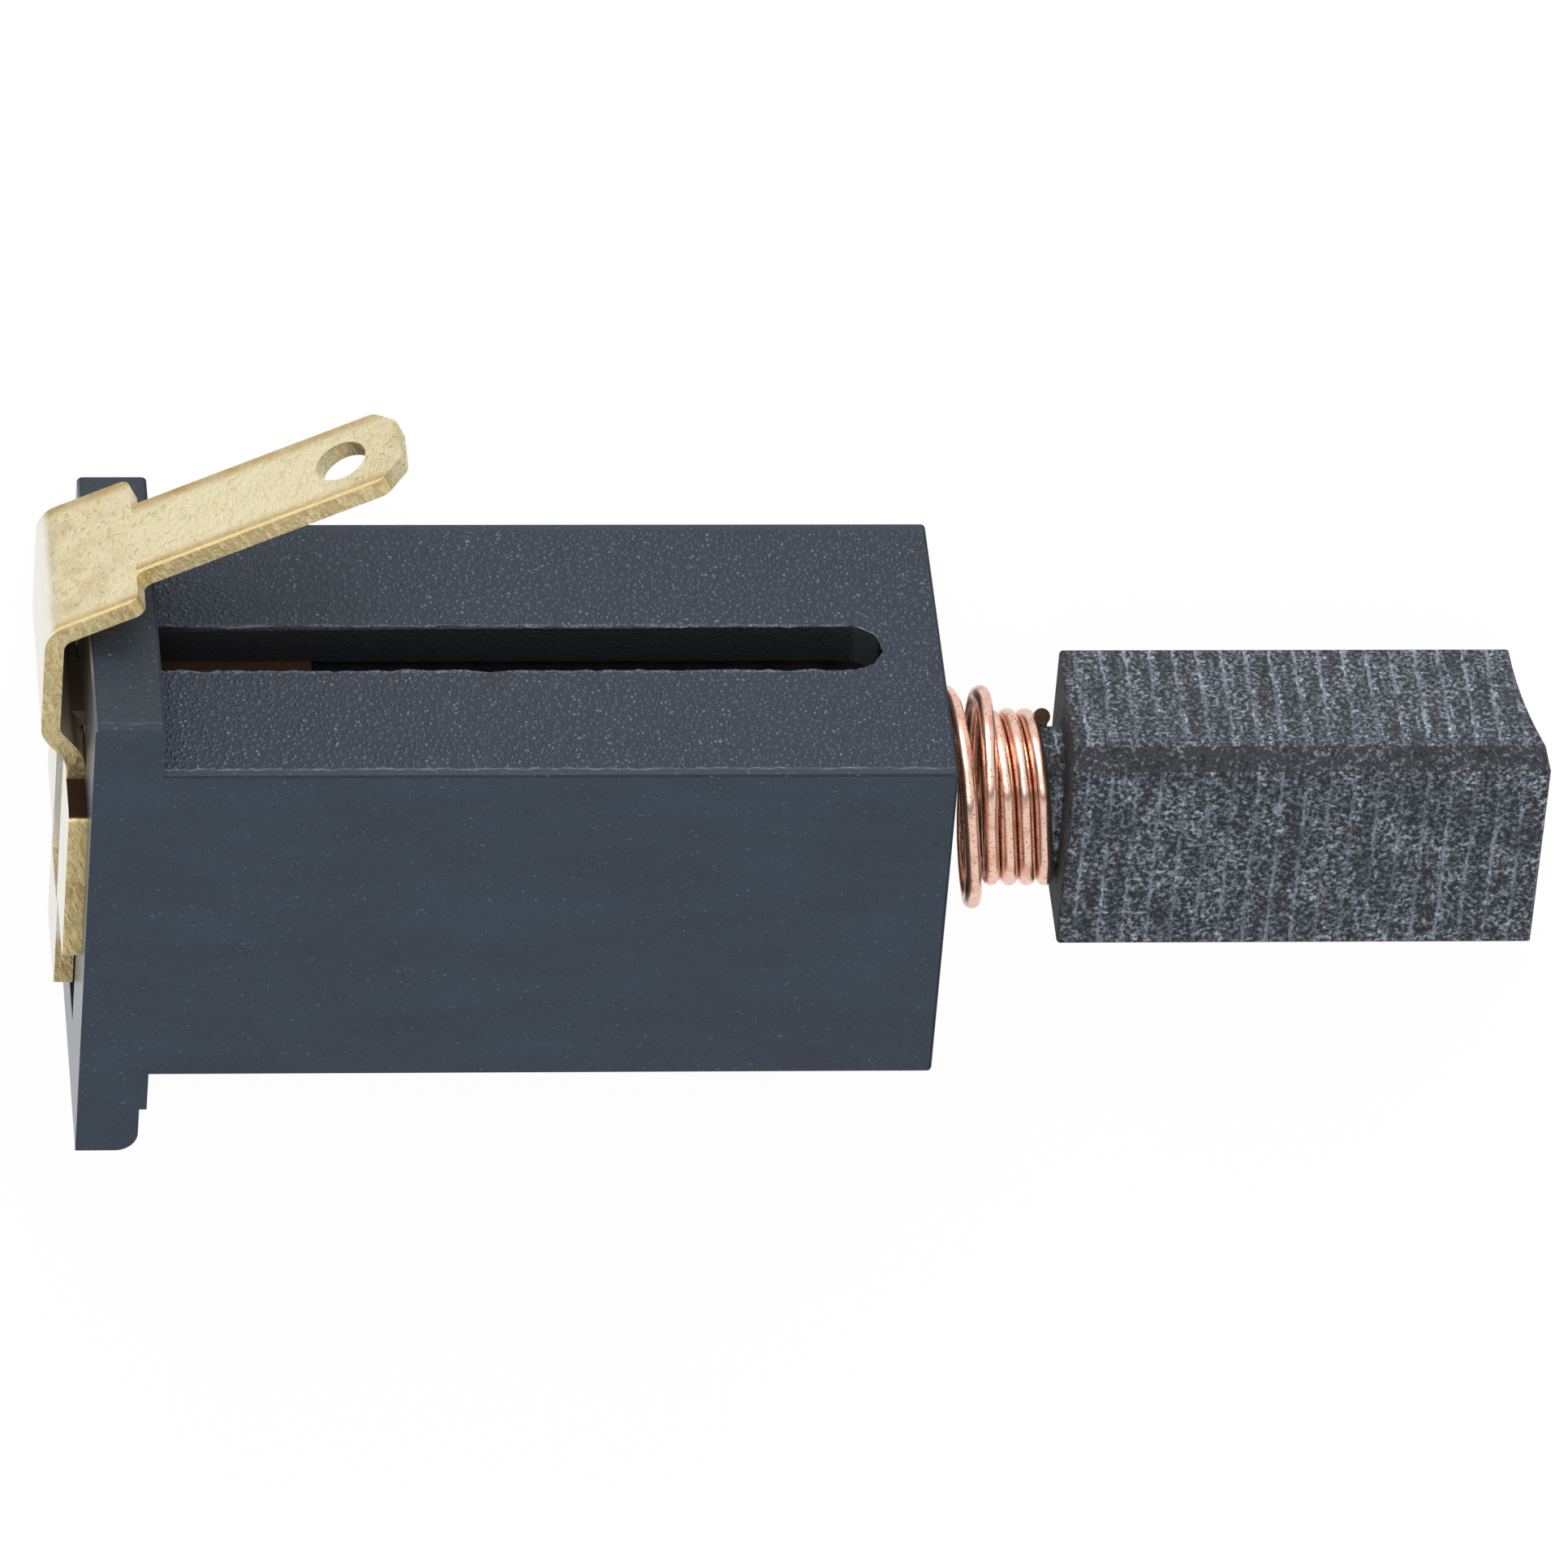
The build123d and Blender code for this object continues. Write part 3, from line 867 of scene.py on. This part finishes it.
def coil_line(turn):
    """Middle line of the wire in millimetres, for turns counted from the last large turn's top.

    One turn runs round two half circles joined by two straight sides. The place
    along the axis goes in straight runs from station to station, and is the mean of
    five places so that the pitch changes smoothly. From the last large turn to the
    close ones the half circles shrink and the turns lean over, both by a smooth step.
    """
    first = -OPEN_TURNS - CLOSED_TURNS
    stations = (first, -OPEN_TURNS, -1, -0.5, 0, GRIP_TURNS)
    places = (CLOSED_X, OPEN_X, LAST_LARGE_X, GRIP_START_X, GRIP_START_X, GRIP_END_X)
    offsets = PITCH_BLEND_TURNS * np.linspace(-1, 1, 5)
    near = np.clip(turn[:, None] + offsets, first, GRIP_TURNS)
    x = np.interp(near, stations, places).mean(axis=1)
    step = np.clip(turn / STEP_TURNS, 0, 1)
    step = step * step * (3 - 2 * step)
    radius = LARGE_RADIUS + (GRIP_RADIUS - LARGE_RADIUS) * step
    arc = math.pi * LARGE_RADIUS
    straight = 2 * STRAIGHT_HALF
    lap = 2 * (arc + straight)
    run = (turn * lap + (TOP_ANGLE + 90) / 180 * arc) % lap
    half = np.where(run < arc + straight, 0.0, 1.0)
    run = run - half * (arc + straight)
    angle = np.radians(-90 + 180 * np.clip(run / arc, 0, 1) + 180 * half)
    side = (1 - 2 * half) * (STRAIGHT_HALF - np.clip(run - arc, 0, straight))
    y = side + radius * np.cos(angle)
    z = radius * np.sin(angle)
    top = math.radians(TOP_ANGLE)
    x = x - LEAN * step * (y * math.cos(top) + z * math.sin(top))
    return np.stack([x, y, z + AXIS_Z], axis=1)


def swept_wire(name, line, radius, corners, free_end, material):
    """A round wire along a line of points in millimetres.

    Each point of a ring is line + radius x (cos u x side + sin u x upright). Side is
    the X axis made square to the wire, upright is square to both, and each end is
    closed by a flat fan round one middle point, with a sharp rim. The first UV
    number is the distance from the free end, 0 for the first and -1 for the last.
    """
    count = len(line)
    along = np.gradient(line, axis=0)
    along /= np.linalg.norm(along, axis=1)[:, None]
    side = np.array([1.0, 0.0, 0.0]) - along * along[:, :1]
    side /= np.linalg.norm(side, axis=1)[:, None]
    upright = np.cross(along, side)
    turn = np.linspace(0, 2 * np.pi, corners, endpoint=False)
    cosine, sine = np.cos(turn)[None, :, None], np.sin(turn)[None, :, None]
    rings = line[:, None] + radius * (cosine * side[:, None] + sine * upright[:, None])
    points = np.concatenate([rings.reshape(-1, 3), line[:1], line[-1:]]) * MM

    ring, corner = np.meshgrid(np.arange(count - 1), np.arange(corners), indexing="ij")
    this, following = ring * corners, (corner + 1) % corners
    after = this + corners
    walls = np.stack([this + corner, this + following, after + following, after + corner], axis=-1)
    walls = walls.reshape(-1, 4)
    loop = np.arange(corners)
    rim = (loop + 1) % corners
    last = (count - 1) * corners
    first_middle, last_middle = np.full((2, corners), count * corners) + np.array([[0], [1]])
    first_cap = np.stack([first_middle, rim, loop], axis=1)
    last_cap = np.stack([last_middle, last + loop, last + rim], axis=1)
    faces = walls.tolist() + first_cap.tolist() + last_cap.tolist()
    mesh = bpy.data.meshes.new(name)
    mesh.from_pydata(points.tolist(), [], faces)
    mesh.polygons.foreach_set("use_smooth", np.arange(len(faces)) < len(walls))

    ends = np.zeros(2 * len(mesh.edges), np.int32)
    mesh.edges.foreach_get("vertices", ends)
    ends = ends.reshape(-1, 2)
    on_first = (ends < corners).all(axis=1)
    on_last = ((ends >= last) & (ends < last + corners)).all(axis=1)
    mesh.edges.foreach_set("use_edge_sharp", on_first | on_last)

    run = np.concatenate([[0.0], np.cumsum(np.linalg.norm(np.diff(line, axis=0), axis=1))]) * MM
    run = np.abs(run - run[free_end])
    round_wire = turn * radius * MM
    place = np.stack(np.broadcast_arrays(run[:, None], round_wire[None, :]), axis=-1)
    place = np.concatenate([place.reshape(-1, 2), [[run[0], 0.0]], [[run[-1], 0.0]]])
    corner_of = np.zeros(len(mesh.loops), np.int32)
    mesh.loops.foreach_get("vertex_index", corner_of)
    layer = mesh.uv_layers.new(name="Along the wire")
    layer.data.foreach_set("uv", place[corner_of].astype(np.float32).ravel())
    mesh.materials.append(material)
    return in_scene(name, mesh)


class BRUSH_OT_holder(bpy.types.Operator):
    """Dress the moulded holder in spark-eroded plastic"""

    bl_idname = "brush.holder"
    bl_label = "Holder"

    def execute(self, context):
        values = context.scene.brush_holder
        rounded_copy(
            "brush_holder",
            "holder_moulding",
            spark_eroded_plastic(values),
            values.edge_round,
            "holder",
            ragged_slot,
        )
        return {"FINISHED"}


class BRUSH_OT_terminal(bpy.types.Operator):
    """Dress the folded terminal in rolled and sheared brass"""

    bl_idname = "brush.terminal"
    bl_label = "Terminal"

    def execute(self, context):
        values = context.scene.brush_terminal
        rounded_copy(
            "terminal_clip",
            "folded_terminal",
            rolled_brass(values),
            values.edge_round,
            "holder",
        )
        return {"FINISHED"}


class BRUSH_OT_spring(bpy.types.Operator):
    """Wind the spring: open turns that stay with the holder, and close ones that ride on the carbon
    """

    bl_idname = "brush.spring"
    bl_label = "Spring"

    def execute(self, context):
        values = context.scene.brush_spring
        material = drawn_copper(values)
        wire_radius = values.wire / 2 / MM
        first = -OPEN_TURNS - CLOSED_TURNS
        open_steps = -first * values.steps
        grip_steps = GRIP_TURNS * values.steps
        open_line = coil_line(np.linspace(first, 0, open_steps + 1))
        grip_line = coil_line(np.linspace(0, GRIP_TURNS, grip_steps + 1))
        open_wire = swept_wire(
            "spring_open_turns", open_line, wire_radius, values.ring, 0, material
        )
        grip_wire = swept_wire(
            "spring_close_turns", grip_line, wire_radius, values.ring, -1, material
        )
        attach(open_wire, "holder")
        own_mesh(open_wire)
        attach(grip_wire, "carbon")
        for wire in (open_wire, grip_wire):
            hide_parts("pressure_spring")
        return {"FINISHED"}


class BRUSH_OT_carbon(bpy.types.Operator):
    """Dress the carbon block in ground graphite"""

    bl_idname = "brush.carbon"
    bl_label = "Carbon"

    def execute(self, context):
        values = context.scene.brush_carbon
        rounded_copy(
            "carbon_block",
            "carbon_ground_block",
            ground_graphite(values),
            values.edge_round,
            "carbon",
        )
        return {"FINISHED"}


# Stage


def shown_white(tree):
    """1 for camera, glossy and transmission rays, which see plain white, and 1 for glossy ones."""
    path = add_node(tree, "ShaderNodeLightPath").outputs
    rays = ("Is Camera Ray", "Is Glossy Ray", "Is Transmission Ray")
    return highest(tree, *(path[ray] for ray in rays)), path["Is Glossy Ray"]


def studio_white(name, colour):
    """Matt white studio board: it shows itself as plain white and keeps part of the shadow."""
    material, tree, output = new_material(name)
    seen, _ = shown_white(tree)
    board = add_node(tree, "ShaderNodeBsdfDiffuse", {"Color": rgba(colour)})
    glow = add_node(tree, "ShaderNodeEmission", {"Color": rgba(WHITE), "Strength": 1.0})
    share = product(tree, seen, FLOOR_GLOW_SHARE)
    mix = add_node(
        tree, "ShaderNodeMixShader", {0: share, 1: board.outputs[0], 2: glow.outputs[0]}
    )
    tree.links.new(mix.outputs[0], output.inputs["Surface"])
    return material


def board_plane(name, side, height, material):
    """A flat square board, centred under the object."""
    half = side / 2
    corners = ((-half, -half), (half, -half), (half, half), (-half, half))
    mesh = bpy.data.meshes.new(name)
    mesh.from_pydata([(x, y, height) for x, y in corners], [], [(0, 1, 2, 3)])
    mesh.materials.append(material)
    board = in_scene(name, mesh)
    return board


def area_lamp(name, place, size, power):
    """A soft box that faces the brush, with its width and height in metres."""
    lamp = bpy.data.lights.new(name, "AREA")
    lamp.shape = "RECTANGLE"
    lamp.size, lamp.size_y = size
    lamp.energy = power
    away = np.array(place) - np.array(LAMP_AIM)
    away /= np.linalg.norm(away)
    right = np.cross((0.0, 0.0, 1.0), away)
    right /= np.linalg.norm(right)
    up = np.cross(away, right)
    rows = [[right[i], up[i], away[i], place[i]] for i in range(3)]
    in_scene(name, lamp).matrix_world = Matrix(rows + [[0, 0, 0, 1]])


def white_studio():
    """World of plain, even light that is seen as white.

    Glossy rays also meet a dark band above the camera, like a flag hung there, and
    it gives the dark line across the wire.
    """
    world = bpy.data.worlds.new("White_studio")
    world.use_nodes = True
    tree = world.node_tree
    tree.nodes.clear()
    output = add_node(tree, "ShaderNodeOutputWorld")
    seen, glossy = shown_white(tree)
    light = add_node(
        tree, "ShaderNodeBackground", {"Color": rgba(WHITE), "Strength": WORLD_LIGHT}
    )
    heading = add_node(tree, "ShaderNodeTexCoord").outputs["Generated"]
    heading = add_node(tree, "ShaderNodeSeparateXYZ", {"Vector": heading}).outputs
    tilt = folded(tree, "ARCTAN2", (heading["Z"], heading["Y"]))
    flag = product(tree, *(between(tree, tilt, *ends) for ends in FLAG_TILTS))
    bright = level(tree, product(tree, glossy, flag), 1.0, FLAG_LEVEL)
    white = add_node(tree, "ShaderNodeBackground", {"Color": rgba(WHITE), "Strength": bright})
    mix = add_node(
        tree, "ShaderNodeMixShader", {0: seen, 1: light.outputs[0], 2: white.outputs[0]}
    )
    tree.links.new(mix.outputs[0], output.inputs["Surface"])
    return world


def photo_camera(focal_length):
    """The camera, where the photograph was taken from."""
    lens = bpy.data.cameras.new("camera")
    lens.sensor_width = 36
    lens.sensor_fit = "HORIZONTAL"
    lens.lens = focal_length
    lens.clip_start = 0.01
    lens.clip_end = 20
    camera = in_scene("camera", lens)
    camera.matrix_world = Matrix(CAMERA_MATRIX)
    return camera


class BRUSH_OT_stage(bpy.types.Operator):
    """Set the white floor, the soft light and the camera"""

    bl_idname = "brush.stage"
    bl_label = "Stage"

    def execute(self, context):
        values = context.scene.brush_stage
        board = studio_white("Board_matt_white", values.floor_colour)
        board_plane("floor", values.floor_side, -FLOOR_GAP, board)
        for name, place, size, power in LAMPS:
            area_lamp(name, place, size, power)
        context.scene.world = white_studio()
        context.scene.camera = photo_camera(values.focal_length)
        context.scene.view_settings.view_transform = "Standard"
        return {"FINISHED"}


class BRUSH_PT_panel(bpy.types.Panel):
    """Operators and values of the brush"""

    bl_label = "Carbon brush"
    bl_space_type = "VIEW_3D"
    bl_region_type = "UI"
    bl_category = "Brush"

    def draw(self, context):
        for group, operator in GROUPS:
            box = self.layout.box()
            box.operator(operator.bl_idname)
            values = getattr(context.scene, group)
            for name in type(values).__annotations__:
                box.prop(values, name)


GROUPS = (
    ("brush_holder", BRUSH_OT_holder),
    ("brush_terminal", BRUSH_OT_terminal),
    ("brush_spring", BRUSH_OT_spring),
    ("brush_carbon", BRUSH_OT_carbon),
    ("brush_stage", BRUSH_OT_stage),
)
VALUES = (BRUSH_PG_holder, BRUSH_PG_terminal, BRUSH_PG_spring, BRUSH_PG_carbon, BRUSH_PG_stage)
CLASSES = (*VALUES, *(operator for _, operator in GROUPS), BRUSH_PT_panel)


def register():
    for kind in CLASSES:
        bpy.utils.register_class(kind)
    for (group, _), kind in zip(GROUPS, VALUES):
        setattr(bpy.types.Scene, group, PointerProperty(type=kind))


def unregister():
    for group, _ in GROUPS:
        delattr(bpy.types.Scene, group)
    for kind in reversed(CLASSES):
        bpy.utils.unregister_class(kind)


def main():
    """Makes each piece in turn."""
    register()
    bpy.ops.brush.holder()
    bpy.ops.brush.terminal()
    bpy.ops.brush.spring()
    bpy.ops.brush.carbon()
    bpy.ops.brush.stage()


if __name__ == "__main__":
    main()
